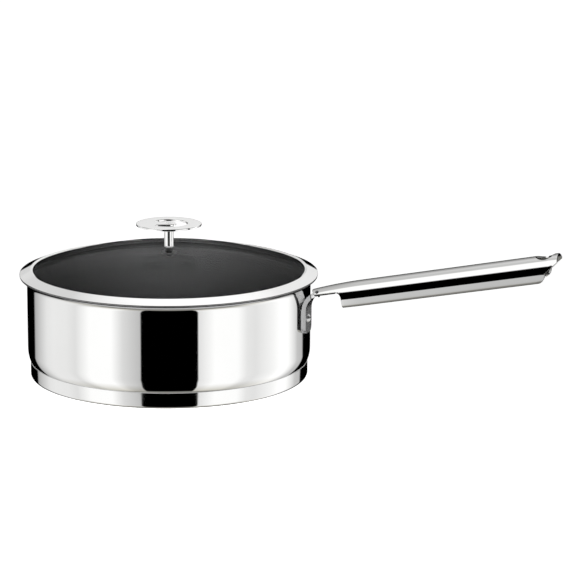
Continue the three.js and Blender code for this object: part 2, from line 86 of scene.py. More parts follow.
# The bent sheet's inner edge leans out at the tip, so the sheet ends a little short
TIP_EASE = 0.25
HANG_HOLE_RADIUS = 7.9
HANG_HOLE_FROM_TIP = 11.5

# Sizes of the fasteners
SEAT_GAP = 0.3
STRAP_THICKNESS = 3.6
STRAP_EDGE = 0.4
STRAP_FRONT = PAN_OUTER_RADIUS + SEAT_GAP + STRAP_THICKNESS
STRAP_FOOT_HEIGHT = 45.6
RIVET_FROM_FOOT = 12
RIVET_HEIGHT = STRAP_FOOT_HEIGHT + RIVET_FROM_FOOT
RIVET_RADIUS = 2.5
RIVET_HEAD_RADIUS = 3.7
RIVET_HEAD_HEIGHT = 2
RIVET_INNER_HEAD_RADIUS = 4.6
RIVET_INNER_HEAD_HEIGHT = 1.3
NECK_RIVET_RADIUS = 0.9
NECK_RIVET_HEAD_RADIUS = 1.5
NECK_RIVET_HEAD_HEIGHT = 0.5
NECK_RIVET_FROM_END = 5.5
NECK_RIVET_TILT = math.radians(37)

# Sizes of the lid
BAND_SHEET = 0.7
FLANGE_RADIUS = PAN_INNER_RADIUS + 7.35
FLANGE_SLOPE = math.radians(23)
SKIRT_RADIUS = PAN_INNER_RADIUS - 0.6
SKIRT_INNER_RADIUS = SKIRT_RADIUS - BAND_SHEET
SKIRT_DEPTH = 6.4
CREST_RADIUS = PAN_INNER_RADIUS - 1.9
CRIMP_RADIUS = CREST_RADIUS - 2.2
CRIMP_STEP = 1.6
LEDGE_WIDTH = 3.2
GLASS_THICKNESS = 4
GLASS_DOME_RADIUS = 351.7
GLASS_RADIUS = SKIRT_INNER_RADIUS - 0.4
GLASS_HOLE_RADIUS = 3.5
GLASS_EDGE_IN = 0.8
GLASS_EDGE_DOWN = 0.6
GLASS_HOLE_EDGE = 0.4

# Sizes of the knob
KNOB_RADIUS = 28
KNOB_HOLE_RADIUS = 16
KNOB_THICKNESS = 2
KNOB_EDGE = 0.5
TONGUE_WIDTH = 13
TONGUE_FILLET = 3
TONGUE_TURN = math.radians(20)
STEM_RADIUS = 4.1
STEM_HEIGHT = 17.7
SPIGOT_RADIUS = 2.5
SPIGOT_CLEARANCE = 0.05
SCREW_RADIUS = 2.5
SCREW_REACH = 10
HOLE_CLEARANCE = 0.3
WASHER_RADIUS = 6.5
WASHER_THICKNESS = 1
GASKET_THICKNESS = 0.9
LOWER_GASKET_RADIUS = 7
GASKET_GAP = 0.1
RING_EDGE = 0.15

# How finely round forms are drawn
PAN_SIDES = 224
SMALL_SIDES = 72
ARC_STEPS = 10


# Profiles

def arc(centre, radius, start, end, steps=ARC_STEPS):
    """Points of an arc, ends included."""
    angles = [start + (end - start) * i / steps for i in range(steps + 1)]
    return [(centre[0] + radius * math.cos(a), centre[1] + radius * math.sin(a)) for a in angles]


def rounded(corners, closed, steps=5):
    """Straight lines between corners (a, b, radius), each corner rounded to its radius."""
    path = []
    last = len(corners) - 1
    for i, (a, b, radius) in enumerate(corners):
        here = Vector((a, b))
        if radius == 0 or (not closed and i in (0, last)):
            path.append((a, b))
            continue
        back = (Vector(corners[i - 1][:2]) - here).normalized()
        ahead = (Vector(corners[(i + 1) % len(corners)][:2]) - here).normalized()
        half = back.angle(ahead) / 2
        centre = here + (back + ahead).normalized() * radius / math.sin(half)
        start = here + back * radius / math.tan(half) - centre
        end = here + ahead * radius / math.tan(half) - centre
        first = math.atan2(start.y, start.x)
        turn = (math.atan2(end.y, end.x) - first + math.pi) % (2 * math.pi) - math.pi
        path += arc(centre, radius, first, first + turn, steps)
    return path


def dome(rim_radius, base, height):
    """A shallow dome from its rim to the axis."""
    ball = (rim_radius ** 2 + height ** 2) / (2 * height)
    half = math.asin(rim_radius / ball)
    points = arc((0, base + height - ball), ball, math.pi / 2 - half, math.pi / 2)
    return points[:-1] + [(0, base + height)]


# Meshes

def add_object(name, vertices, faces, skins=None):
    """A mesh object from millimetre points; skins gives each face its material number."""
    mesh = bpy.data.meshes.new(name)
    mesh.from_pydata([Vector(v) * MM for v in vertices], [], faces)
    if skins:
        mesh.polygons.foreach_set("material_index", skins)
    mesh.shade_smooth()
    mesh.set_sharp_from_angle(angle=math.radians(40))
    mesh.update()
    piece = bpy.data.objects.new(name, mesh)
    bpy.context.scene.collection.objects.link(piece)
    return piece


def revolve(name, profile, sides, closed=False, place=None, skin_of=None):
    """A profile of (radius, height) turned about Z, its outside on the right as it climbs, then set in place.
    skin_of(a, b) gives the strip between two profile points its material number."""
    place = place or Matrix()
    vertices = []
    rings = []
    for radius, height in profile:
        count = sides if radius > 1e-6 else 1
        rings.append(range(len(vertices), len(vertices) + count))
        for i in range(count):
            turn = 2 * math.pi * i / sides
            vertices.append(place @ Vector((radius * math.cos(turn), radius * math.sin(turn), height)))
    faces = []
    skins = []
    pairs = list(zip(rings, rings[1:]))
    spans = list(zip(profile, profile[1:]))
    if closed:
        pairs.append((rings[-1], rings[0]))
        spans.append((profile[-1], profile[0]))
    for (low, high), span in zip(pairs, spans):
        if len(low) == 1 and len(high) == 1:
            continue
        skin = skin_of(*span) if skin_of else 0
        for i in range(sides):
            j = (i + 1) % sides
            face = [low[i % len(low)], low[j % len(low)], high[j % len(high)], high[i % len(high)]]
            faces.append(list(dict.fromkeys(face)))
            skins.append(skin)
    return add_object(name, vertices, faces, skins)


def inside(point, loop):
    """Whether a flat point lies inside a closed loop."""
    crossings = 0
    for (a, b), (c, d) in zip(loop, loop[1:] + loop[:1]):
        if (b > point[1]) != (d > point[1]):
            crossings += point[0] < a + (point[1] - b) * (c - a) / (d - b)
    return crossings % 2 == 1


def fill_outline(outline, holes, inner_points=()):
    """Triangles that fill a flat outline with holes, through the given inner points."""
    points = []
    edges = []
    for loop in [outline, *holes]:
        first = len(points)
        count = len(loop)
        points += [Vector(p) for p in loop]
        edges += [(first + i, first + (i + 1) % count) for i in range(count)]
    for p in inner_points:
        if inside(p, outline) and not any(inside(p, hole) for hole in holes):
            points.append(Vector(p))
    filled = delaunay_2d_cdt(points, edges, [], 0, 1e-5)
    flat = filled[0]
    faces = []
    for face in filled[2]:
        middle = sum((flat[i] for i in face), Vector((0, 0))) / 3
        if inside(middle, outline) and not any(inside(middle, hole) for hole in holes):
            faces.append(face)
    return flat, faces


def sheet(name, flat, faces, place, edge_round):
    """Sheet metal from flat triangles: place(point, side) sets its outside, side 0, and inside, side 1."""
    count = len(flat)
    vertices = [place(p, 0) for p in flat] + [place(p, 1) for p in flat]
    walls = {}
    for face in faces:
        for i, j in zip(face, face[1:] + face[:1]):
            if (j, i) in walls:
                del walls[(j, i)]
            else:
                walls[(i, j)] = [i, i + count, j + count, j]
    inner = [[i + count for i in reversed(face)] for face in faces]
    piece = add_object(name, vertices, [*faces, *inner, *walls.values()])
    ease_edges(piece, edge_round)
    return piece


def ease_edges(piece, edge_round):
    """Rounds the sharp edges of a piece and keeps its faces' shading even."""
    edges = piece.modifiers.new("edges", "BEVEL")
    edges.width = edge_round * MM
    edges.segments = 3
    edges.limit_method = "ANGLE"
    edges.angle_limit = math.radians(50)
    normals = piece.modifiers.new("normals", "WEIGHTED_NORMAL")
    normals.keep_sharp = False


# Materials

def material(name):
    made = bpy.data.materials.new(name)
    made.use_nodes = True
    return made, made.node_tree, made.node_tree.nodes["Principled BSDF"]


def noise(tree, scale, stretch=(1, 1, 1), detail=3):
    """Noise over the object's own coordinates, in metres, stretched along the axes."""
    place = tree.nodes.new("ShaderNodeTexCoord")
    mapping = tree.nodes.new("ShaderNodeMapping")
    texture = tree.nodes.new("ShaderNodeTexNoise")
    mapping.inputs["Scale"].default_value = stretch
    texture.inputs["Scale"].default_value = scale
    texture.inputs["Detail"].default_value = detail
    tree.links.new(place.outputs["Object"], mapping.inputs["Vector"])
    tree.links.new(mapping.outputs["Vector"], texture.inputs["Vector"])
    return texture.outputs["Fac"]


def remap(tree, value, low, high, first=0, last=1):
    """Goes from the first number to the last as a value goes from low to high, and stays there."""
    node = tree.nodes.new("ShaderNodeMapRange")
    node.inputs["From Min"].default_value = low
    node.inputs["From Max"].default_value = high
    node.inputs["To Min"].default_value = first
    node.inputs["To Max"].default_value = last
    tree.links.new(value, node.inputs["Value"])
    return node.outputs["Result"]


def spread(tree, value, first, last):
    """Maps a noise value, mostly 0.3 to 0.7, to a range."""
    return remap(tree, value, 0.3, 0.7, first, last)


def reckon(tree, operation, *values):
    node = tree.nodes.new("ShaderNodeMath")
    node.operation = operation
    for value, socket in zip(values, node.inputs):
        tree.links.new(value, socket)
    return node.outputs["Value"]


def mix_colours(tree, factor, first, second):
    node = tree.nodes.new("ShaderNodeMix")
    node.data_type = "RGBA"
    node.inputs["A"].default_value = (*first, 1)
    node.inputs["B"].default_value = (*second, 1)
    tree.links.new(factor, node.inputs["Factor"])
    return node.outputs["Result"]


def bump(tree, shader, height, strength, distance):
    node = tree.nodes.new("ShaderNodeBump")
    node.inputs["Strength"].default_value = strength
    node.inputs["Distance"].default_value = distance
    tree.links.new(height, node.inputs["Height"])
    tree.links.new(node.outputs["Normal"], shader.inputs["Normal"])


def edge_wear(tree, most):
    """A value that grows from nothing to the most where the surface turns sharply outward."""
    geometry = tree.nodes.new("ShaderNodeNewGeometry")
    return remap(tree, geometry.outputs["Pointiness"], 0.52, 0.62, 0, most)


def facing_away(tree, low, high):
    """A value that grows where the surface turns away from the eye."""
    slant = tree.nodes.new("ShaderNodeLayerWeight")
    slant.inputs["Blend"].default_value = 0.5
    return remap(tree, slant.outputs["Facing"], low, high)


def grey(brightness):
    return (brightness, brightness, brightness)


def polished_steel(name, stretch, shine, edge_shine=1):
    """Mirror-polished steel with faint polishing lines along one direction, light smears and worn edges.
    edge_shine is what is left of its reflection at a flat angle."""
    made, tree, shader = material(name)
    lines = noise(tree, 1, stretch, 4)
    smears = noise(tree, 18, detail=5)
    shader.inputs["Metallic"].default_value = 1
    dull = (shine - 0.03, shine - 0.03, shine - 0.04)
    bright = (shine + 0.03, shine + 0.03, shine + 0.025)
    tree.links.new(mix_colours(tree, smears, dull, bright), shader.inputs["Base Color"])
    shader.inputs["Specular Tint"].default_value = (*grey(edge_shine), 1)
    rough = reckon(tree, "ADD", spread(tree, lines, 0.015, 0.04), spread(tree, smears, 0, 0.02))
    rough = reckon(tree, "ADD", rough, edge_wear(tree, 0.05))
    tree.links.new(rough, shader.inputs["Roughness"])
    bump(tree, shader, lines, 0.006, 0.00002)
    return made


def satin_steel(name, stretch, dull, bright, rough=0.16):
    """Steel with fine grinding lines along one direction."""
    made, tree, shader = material(name)
    lines = noise(tree, 1, stretch, 3)
    shader.inputs["Metallic"].default_value = 1
    tree.links.new(mix_colours(tree, lines, grey(dull), grey(bright)), shader.inputs["Base Color"])
    tree.links.new(spread(tree, lines, rough, rough + 0.14), shader.inputs["Roughness"])
    bump(tree, shader, lines, 0.08, 0.00003)
    return made


def dark_coating(name):
    """Dark non-stick coating: a fine speckle over a turned wall and a slightly uneven sprayed film."""
    made, tree, shader = material(name)
    speckle = noise(tree, 1600, detail=2)
    turned = noise(tree, 1, (7, 7, 700), 3)
    film = noise(tree, 45, detail=4)
    grain = reckon(tree, "ADD", spread(tree, speckle, 0, 0.5), spread(tree, turned, 0, 0.5))
    tint = mix_colours(tree, grain, (0.013, 0.013, 0.0132), (0.033, 0.033, 0.0335))
    tree.links.new(tint, shader.inputs["Base Color"])
    tree.links.new(spread(tree, film, 0.5, 0.65), shader.inputs["Roughness"])
    shader.inputs["Specular IOR Level"].default_value = 0.008
    bump(tree, shader, speckle, 0.12, 0.00004)
    return made


def aluminium(name):
    made, tree, shader = material(name)
    grain = noise(tree, 400, (1, 1, 8), 3)
    shader.inputs["Metallic"].default_value = 1
    tint = mix_colours(tree, grain, (0.62, 0.62, 0.63), (0.75, 0.75, 0.76))
    tree.links.new(tint, shader.inputs["Base Color"])
    tree.links.new(spread(tree, grain, 0.35, 0.55), shader.inputs["Roughness"])
    bump(tree, shader, grain, 0.15, 0.00005)
    return made


def silicone(name, dull, bright):
    made, tree, shader = material(name)
    dust = noise(tree, 900, detail=4)
    shader.inputs["Subsurface Weight"].default_value = 0.15
    shader.inputs["Subsurface Radius"].default_value = (0.002, 0.002, 0.002)
    tree.links.new(mix_colours(tree, dust, grey(dull), grey(bright)), shader.inputs["Base Color"])
    tree.links.new(spread(tree, dust, 0.45, 0.65), shader.inputs["Roughness"])
    bump(tree, shader, dust, 0.1, 0.00003)
    return made


def clear_glass(name):
    """Toughened glass, with a painted dark reflection where the eye looks along it, and the faintest wiping
    marks.
    """
    made, tree, shader = material(name)
    wiping = noise(tree, 30, (1, 3, 1), 5)
    shader.inputs["Transmission Weight"].default_value = 1
    shader.inputs["IOR"].default_value = 1.001
    shader.inputs["Coat Weight"].default_value = 0.04
    # Painted reflection: the colour darkens where the eye looks along the glass, standing in for its dark
    # reflection at a flat angle
    tint = mix_colours(tree, facing_away(tree, 0.84, 0.97), (0.89, 0.9, 0.895), (0.08, 0.0805, 0.08))
    tree.links.new(tint, shader.inputs["Base Color"])
    tree.links.new(spread(tree, wiping, 0, 0.02), shader.inputs["Roughness"])
    return made


STEEL_TURNED = polished_steel("steel_turned", (12, 12, 1500), 0.87)
STEEL_DRAWN = polished_steel("steel_drawn", (20, 1500, 1500), 0.7, 0.06)
STEEL_KNOB = polished_steel("steel_knob", (1200, 60, 1200), 0.95)
STEEL_STRAP = satin_steel("steel_strap", (1500, 1500, 60), 0.3, 0.95)
STEEL_DARK = satin_steel("steel_dark", (900, 900, 9000), 0.05, 0.12)
# Dark steel for the sheets' cut edges: painted shade, the dark line where shade falls between the lid's flange
# and the pan's lip
STEEL_CUT_PAINTED_SHADE = satin_steel("steel_cut_painted_shade", (900, 900, 9000), 0.06, 0.12, 0.3)
STEEL_INSIDE = satin_steel("steel_inside", (900, 900, 9000), 0.2, 0.3, 0.6)
COATING = dark_coating("dark_coating")
ALUMINIUM = aluminium("pressed_aluminium")
SILICONE = silicone("pale_silicone", 0.17, 0.21)
SILICONE_DARK = silicone("dark_silicone", 0.011, 0.019)
GLASS = clear_glass("toughened_glass")


def dress(piece, body, node, slot, *materials):
    """Hands a piece its materials and the body it moves with, and hides the solid it stands for. slot is not
    used.
    """
    for each in materials:
        piece.data.materials.append(each)
    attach(piece, body)
    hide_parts(node)


def finish_node(node, made):
    """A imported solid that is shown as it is, with its material."""
    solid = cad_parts[node]
    solid.data.materials.clear()
    solid.data.materials.append(made)


# Pan body and base

def corner_curve(floor, thickness):
    """The elliptical corner from the floor up to the wall."""
    middle = PAN_OUTER_RADIUS - CORNER_IN
    across = CORNER_IN - thickness
    up = CORNER_UP - thickness
    angles = [math.pi / 2 * i / 16 for i in range(17)]
    return [(middle + across * math.sin(a), floor + up * (1 - math.cos(a))) for a in angles]


def corner_height(radius):
    """Height of the shell's outer corner at a radius."""
    across = (radius - (PAN_OUTER_RADIUS - CORNER_IN)) / CORNER_IN
    return SHELL_UNDERSIDE + CORNER_UP * (1 - math.sqrt(1 - across ** 2))


def build_pan_shell():
    half = WALL / 2
    middle = LIP_BEND - half
    lip_end = math.pi / 2 - LIP_OVERTURN + half / middle
    edge_centre = arc(LIP_BEND_CENTRE, middle, lip_end, lip_end, 1)[0]
    lip_edge = arc(edge_centre, half, lip_end - math.pi, lip_end, 8)[1:-1]
    lip_turn = arc(LIP_BEND_CENTRE, LIP_BEND, lip_end, math.pi, 16)
    inner = [
        *(p for p in lip_turn if p[1] < RIM_HEIGHT - COATING_FROM_RIM),
        *reversed(corner_curve(SHELL_UNDERSIDE + WALL, WALL)),
        (0, SHELL_UNDERSIDE + WALL),
    ]
    profile = [
        (0, SHELL_UNDERSIDE),
        *corner_curve(SHELL_UNDERSIDE, 0),
        *arc(LIP_BEND_CENTRE, LIP_BEND - WALL, math.pi, lip_end, 16),
        *lip_edge,
        *(p for p in lip_turn if p not in inner),
        *inner,
    ]

    def shell_skin(a, b):
        """0 is the polished outside, 1 the coated inside and 2 the lip's cut edge, in dark steel as painted
        shade.
        """
        if a in lip_edge:
            return 2
        return 1 if b in inner else 0

    shell = revolve("pan_body", profile, PAN_SIDES, skin_of=shell_skin)
    shell.visible_glossy = False
    dress(shell, "pan", "pan_shell", "polished_steel", STEEL_TURNED, COATING, STEEL_CUT_PAINTED_SHADE)


def build_base_cap():
    inner = CAP_RADIUS - CAP_SHEET
    corner = (CAP_RADIUS - CAP_CORNER, CAP_CORNER)
    profile = [
        (0, 0),
        *arc(corner, CAP_CORNER, -math.pi / 2, 0),
        (CAP_RADIUS, corner_height(CAP_RADIUS - SEAM_GAP) - 2 * CAP_EDGE),
        (CAP_RADIUS - CAP_EDGE, corner_height(CAP_RADIUS - CAP_EDGE - SEAM_GAP)),
        (inner, corner_height(inner - SEAM_GAP)),
        *arc(corner, CAP_CORNER - CAP_SHEET, 0, -math.pi / 2),
        (0, CAP_SHEET),
    ]
    cap = revolve("base_shell", profile, PAN_SIDES)
    dress(cap, "pan", "base_cap", "polished_steel", STEEL_TURNED)


def build_wall_rivet():
    seat = math.sqrt(PAN_INNER_RADIUS ** 2 - RIVET_INNER_HEAD_RADIUS ** 2) - SEAT_GAP
    inner_head = [(r, seat - h) for r, h in dome(RIVET_INNER_HEAD_RADIUS, 0, RIVET_INNER_HEAD_HEIGHT)]
    profile = [
        *reversed(inner_head),
        (RIVET_RADIUS, seat),
        (RIVET_RADIUS, STRAP_FRONT),
        *dome(RIVET_HEAD_RADIUS, STRAP_FRONT, RIVET_HEAD_HEIGHT),
    ]
    place = Matrix.Translation((0, 0, RIVET_HEIGHT)) @ Matrix.Rotation(math.pi / 2, 4, "Y")
    rivet = revolve("wall_rivet_turned", profile, SMALL_SIDES, place=place)
    dress(rivet, "pan", "wall_rivet", "polished_steel", STEEL_STRAP)


# Handle

def on_handle():
    """From along, across and up on the handle to the pan's own frame."""
    return Matrix.Translation((HANDLE_ROOT, 0, HANDLE_HEIGHT)) @ Matrix.Rotation(-HANDLE_SLOPE, 4, "Y")


def grip_growth(along):
    """The tube widens steadily from neck to tip, and its neck end draws in."""
    widening = 1 + (GRIP_TAPER - 1) * along / GRIP_LENGTH
    drawn_in = max(0, 1 - along / NARROWED_LENGTH)
    return widening * (1 - NECK_NARROWING * drawn_in ** 2)


TIP_CORNER_START = GRIP_LENGTH - TIP_SLANT - TIP_CORNER
CROWN_ARC = GRIP_RADIUS_NECK * math.pi / 2
HALF_SHEET = CROWN_ARC + GRIP_LEG + GRIP_CURL * math.pi / 2


def bend_sheet(along, across, depth):
    """Where a point of the flat sheet lies once bent: across is the way from the crown along the sheet."""
    way = abs(across)
    radius = GRIP_RADIUS_NECK - depth
    if way <= CROWN_ARC:
        side = radius * math.sin(way / GRIP_RADIUS_NECK)
        up = radius * math.cos(way / GRIP_RADIUS_NECK)
    elif way <= CROWN_ARC + GRIP_LEG:
        side = radius
        up = CROWN_ARC - way
    else:
        turn = (way - CROWN_ARC - GRIP_LEG) / GRIP_CURL
        side = GRIP_RADIUS_NECK - GRIP_CURL + (GRIP_CURL - depth) * math.cos(turn)
        up = -GRIP_LEG - (GRIP_CURL - depth) * math.sin(turn)
    grow = grip_growth(along)
    return Vector((along, math.copysign(side * grow, across), up * grow))


def across_at_height(along, up):
    """How far from the crown the bent sheet reaches a height."""
    up = up / grip_growth(along)
    if up >= 0:
        return GRIP_RADIUS_NECK * math.acos(min(1, up / GRIP_RADIUS_NECK))
    if -up <= GRIP_LEG:
        return CROWN_ARC - up
    return CROWN_ARC + GRIP_LEG + GRIP_CURL * math.asin(min(1, (-up - GRIP_LEG) / GRIP_CURL))


def across_at_side(along, side):
    """How far from the crown the bent sheet reaches a distance from the handle's middle plane."""
    return GRIP_RADIUS_NECK * math.asin(min(1, side / (GRIP_RADIUS_NECK * grip_growth(along))))


def steps_between(first, last, spacing):
    count = max(2, round(abs(last - first) / spacing))
    return [first + (last - first) * i / count for i in range(count + 1)]


def on_sheet(points):
    """From (along, height) on the bent sheet to (along, across) on the flat one."""
    return [(along, across_at_height(along, up)) for along, up in points]


def neck_outline():
    """The neck's rounded end, its straight edge, the fillet and the step down to the grip's lower edge."""
    end = []
    side = 0
    while True:
        along = NECK_END_ROUND - math.sqrt(NECK_END_ROUND ** 2 - side ** 2)
        across = across_at_side(along, side)
        if across >= across_at_height(along, NECK_EDGE):
            break
        end.append((along, across))
        side += 0.4
    fillet_start = NECK_LENGTH - NECK_FILLET
    fillet_foot = NECK_EDGE - NECK_FILLET
    strap = on_sheet((a, NECK_EDGE) for a in steps_between(along, fillet_start, 1.2))
    fillet = on_sheet(arc((fillet_start, fillet_foot), NECK_FILLET, math.pi / 2, 0, 14))
    step_top = across_at_height(NECK_LENGTH, fillet_foot)
    step = [(NECK_LENGTH, t) for t in steps_between(step_top, HALF_SHEET, 1)]
    return end + strap + fillet[1:] + step[1:]


def tip_outline():
    """The rounded lower corner of the tip, its slant and its square end."""
    corner = (TIP_CORNER_START, TIP_CORNER - (GRIP_LEG + GRIP_CURL) * GRIP_TAPER)
    square = GRIP_RADIUS_TIP - TIP_SQUARE
    slant = [
        (corner[0] + TIP_CORNER + (TIP_SLANT - TIP_EASE) * share, corner[1] + (square - corner[1]) * share)
        for share in (i / 10 for i in range(11))
    ]
    tip = GRIP_LENGTH - TIP_EASE
    end = [(tip, t) for t in steps_between(across_at_height(tip, square), 0, 1)]
    rounding = arc(corner, TIP_CORNER, -math.pi / 2, 0, 16)
    return on_sheet(rounding[1:] + slant[1:]) + end[1:]


def sheet_half_outline():
    """One side of the flat sheet's outline, from the crown at the neck to the crown at the tip."""
    lower_edge = [(a, HALF_SHEET) for a in steps_between(NECK_LENGTH, TIP_CORNER_START, 2.5)]
    return neck_outline() + lower_edge[1:] + tip_outline()


def hang_hole_outline():
    middle = GRIP_LENGTH - HANG_HOLE_FROM_TIP
    hole = arc((middle, 0), HANG_HOLE_RADIUS, 0, 2 * math.pi, 64)[:-1]
    return [(a, math.copysign(across_at_side(a, abs(side)), side)) for a, side in hole]


def far_from(point, outline, distance):
    return all((point[0] - a) ** 2 + (point[1] - b) ** 2 > distance ** 2 for a, b in outline)


def build_grip():
    half = sheet_half_outline()
    outline = half + [(a, -t) for a, t in reversed(half[1:-1])]
    hole = hang_hole_outline()
    border = outline + hole
    grid = [
        (a, t)
        for a in steps_between(0, GRIP_LENGTH, 2.5)
        for t in steps_between(-HALF_SHEET, HALF_SHEET, 1.1)
        if far_from((a, t), border, 0.8)
    ]
    flat, faces = fill_outline(outline, [hole], grid)
    place = on_handle()

    def bent(point, side):
        return place @ bend_sheet(*point, side * GRIP_SHEET)

    grip = sheet("grip_sheet", flat, faces, bent, GRIP_EDGE)
    dress(grip, "pan", "handle_grip", "polished_steel", STEEL_DRAWN)


def build_neck_rivet(name, node, tilt):
    seat = GRIP_RADIUS_NECK * grip_growth(NECK_RIVET_FROM_END)
    foot = (GRIP_RADIUS_NECK - GRIP_SHEET) * grip_growth(0) - SEAT_GAP - STRAP_THICKNESS
    profile = [
        (0, foot),
        (NECK_RIVET_RADIUS, foot),
        (NECK_RIVET_RADIUS, seat),
        *dome(NECK_RIVET_HEAD_RADIUS, seat + SEAT_GAP, NECK_RIVET_HEAD_HEIGHT),
    ]
    tilted = Matrix.Translation((NECK_RIVET_FROM_END, 0, 0)) @ Matrix.Rotation(tilt, 4, "X")
    rivet = revolve(name, profile, SMALL_SIDES, place=on_handle() @ tilted)
    dress(rivet, "pan", node, "satin_steel", STEEL_DARK)


# Lid

def rest_cone(radius, offset):
    """The cone on which the flange rests at the lip's edge, moved square to itself."""
    fall = (radius - LIP_EDGE_RADIUS) * math.tan(FLANGE_SLOPE)
    return LIP_EDGE_HEIGHT - fall + offset / math.cos(FLANGE_SLOPE)


def flange_top(radius):
    return rest_cone(radius, SEAT_GAP + BAND_SHEET)


def flange_underside(radius):
    return rest_cone(radius, SEAT_GAP)


CREST_HEIGHT = flange_top(CREST_RADIUS)
CRIMP_HEIGHT = CREST_HEIGHT - CRIMP_STEP
DOME_MIDDLE = CRIMP_HEIGHT - math.sqrt(GLASS_DOME_RADIUS ** 2 - CRIMP_RADIUS ** 2)
DOME_TOP = DOME_MIDDLE + GLASS_DOME_RADIUS


def glass_height(radius, depth):
    return DOME_MIDDLE + math.sqrt((GLASS_DOME_RADIUS - depth) ** 2 - radius ** 2)


def build_glass():
    radii = steps_between(GLASS_HOLE_RADIUS + GLASS_HOLE_EDGE, GLASS_RADIUS - GLASS_EDGE_IN, 3)
    top = [(r, glass_height(r, 0)) for r in radii]
    under = [(r, glass_height(r, GLASS_THICKNESS)) for r in radii]
    edge_top = (GLASS_RADIUS, glass_height(GLASS_RADIUS, 0) - GLASS_EDGE_DOWN)
    edge_low = (GLASS_RADIUS, glass_height(GLASS_RADIUS, GLASS_THICKNESS) + GLASS_EDGE_DOWN)
    hole_low = (GLASS_HOLE_RADIUS, glass_height(GLASS_HOLE_RADIUS, GLASS_THICKNESS) + GLASS_HOLE_EDGE)
    hole_top = (GLASS_HOLE_RADIUS, glass_height(GLASS_HOLE_RADIUS, 0) - GLASS_HOLE_EDGE)
    profile = [*under, edge_low, edge_top, *reversed(top), hole_top, hole_low]
    glass = revolve("glass_dome", profile, PAN_SIDES, closed=True)
    glass.visible_glossy = False
    glass.visible_shadow = False
    dress(glass, "lid", "lid_glass", "lid_glass", GLASS)


def build_band():
    skirt_top = flange_underside(SKIRT_RADIUS)
    ledge_top = glass_height(GLASS_RADIUS, GLASS_THICKNESS) - SEAT_GAP
    skirt_bottom = min(skirt_top - SKIRT_DEPTH, ledge_top - BAND_SHEET)
    ledge = SKIRT_INNER_RADIUS - LEDGE_WIDTH
    crimp = CRIMP_HEIGHT + SEAT_GAP
    profile = rounded(
        [
            (ledge, skirt_bottom, 0.2),
            (SKIRT_RADIUS, skirt_bottom, 0.6),
            (SKIRT_RADIUS, skirt_top, 0.4),
            (FLANGE_RADIUS, flange_underside(FLANGE_RADIUS), 0.3),
            (FLANGE_RADIUS, flange_top(FLANGE_RADIUS), 0.3),
            (CREST_RADIUS, CREST_HEIGHT, 0.8),
            (CRIMP_RADIUS, crimp + BAND_SHEET, 0.3),
            (CRIMP_RADIUS, crimp, 0.2),
            (SKIRT_INNER_RADIUS, crimp, 0.2),
            (SKIRT_INNER_RADIUS, skirt_bottom + BAND_SHEET, 0.2),
            (ledge, skirt_bottom + BAND_SHEET, 0.2),
        ],
        closed=True,
    )

    def band_skin(a, b):
        """0 is the polished outside, 1 the inside, in the dark coating as a painted dark reflection, and 2 the
        flange's cut edge, in dark steel as painted shade.
        """
        if max(a[0], b[0]) < SKIRT_INNER_RADIUS + 0.1 and max(a[1], b[1]) < crimp:
            return 1
        return 2 if min(a[0], b[0]) > FLANGE_RADIUS - 0.2 else 0

    band = revolve("rim_band", profile, PAN_SIDES, closed=True, skin_of=band_skin)
    band.visible_glossy = False
    # The band's steel inside wears the dark coating: a painted dark reflection of the pan's inside
    dress(band, "lid", "lid_band", "polished_steel", STEEL_TURNED, COATING, STEEL_CUT_PAINTED_SHADE)


# Knob

def knob_opening():
    """The opening between the ring and its tongue."""
    half = TONGUE_WIDTH / 2
    fillet_up = half + TONGUE_FILLET
    fillet_back = -math.sqrt((KNOB_HOLE_RADIUS - TONGUE_FILLET) ** 2 - fillet_up ** 2)
    turn = math.atan2(fillet_up, fillet_back)
    return [
        *arc((0, 0), KNOB_HOLE_RADIUS, -turn, turn, 72),
        *arc((fillet_back, fillet_up), TONGUE_FILLET, turn, 1.5 * math.pi, 10)[1:],
        *arc((0, 0), half, math.pi / 2, -math.pi / 2, 32),
        *arc((fillet_back, -fillet_up), TONGUE_FILLET, math.pi / 2, 2 * math.pi - turn, 10)[:-1],
    ]


def build_knob_ring():
    top = DOME_TOP + GASKET_GAP + GASKET_THICKNESS + STEM_HEIGHT + KNOB_THICKNESS
    outline = arc((0, 0), KNOB_RADIUS, 0, 2 * math.pi, 128)[:-1]
    spigot = arc((0, 0), SPIGOT_RADIUS + SPIGOT_CLEARANCE, 0, 2 * math.pi, 40)[:-1]
    flat, faces = fill_outline(outline, [knob_opening(), spigot])
    turned = Matrix.Rotation(TONGUE_TURN, 3, "Z")

    def level(point, side):
        return turned @ Vector((*point, top - side * KNOB_THICKNESS))

    ring = sheet("knob_disc", flat, faces, level, KNOB_EDGE)
    dress(ring, "lid", "knob_ring", "polished_steel", STEEL_KNOB)


def build_knob_stem():
    foot = DOME_TOP + GASKET_GAP + GASKET_THICKNESS
    shoulder = foot + STEM_HEIGHT
    bore = SCREW_RADIUS + HOLE_CLEARANCE
    bore_top = foot + SCREW_REACH + HOLE_CLEARANCE
    profile = rounded(
        [
            (0, bore_top, 0),
            (bore, bore_top, 0),
            (bore, foot, 0.2),
            (STEM_RADIUS, foot, 0.3),
            (STEM_RADIUS, shoulder, 0.2),
            (SPIGOT_RADIUS, shoulder, 0),
            (SPIGOT_RADIUS, shoulder + KNOB_THICKNESS, 0.2),
            (0, shoulder + KNOB_THICKNESS, 0),
        ],
        closed=False,
    )
    stem = revolve("knob_post", profile, SMALL_SIDES)
    dress(stem, "lid", "knob_stem", "polished_steel", STEEL_TURNED)


def build_ring(name, node, slot, made, outer, bottom, top):
    """A small flat ring round the knob's screw, with eased edges."""
    inner = SCREW_RADIUS + HOLE_CLEARANCE
    corners = [(inner, bottom), (outer, bottom), (outer, top), (inner, top)]
    profile = rounded([(*corner, RING_EDGE) for corner in corners], closed=True)
    ring = revolve(name, profile, SMALL_SIDES, closed=True)
    dress(ring, "lid", node, slot, made)


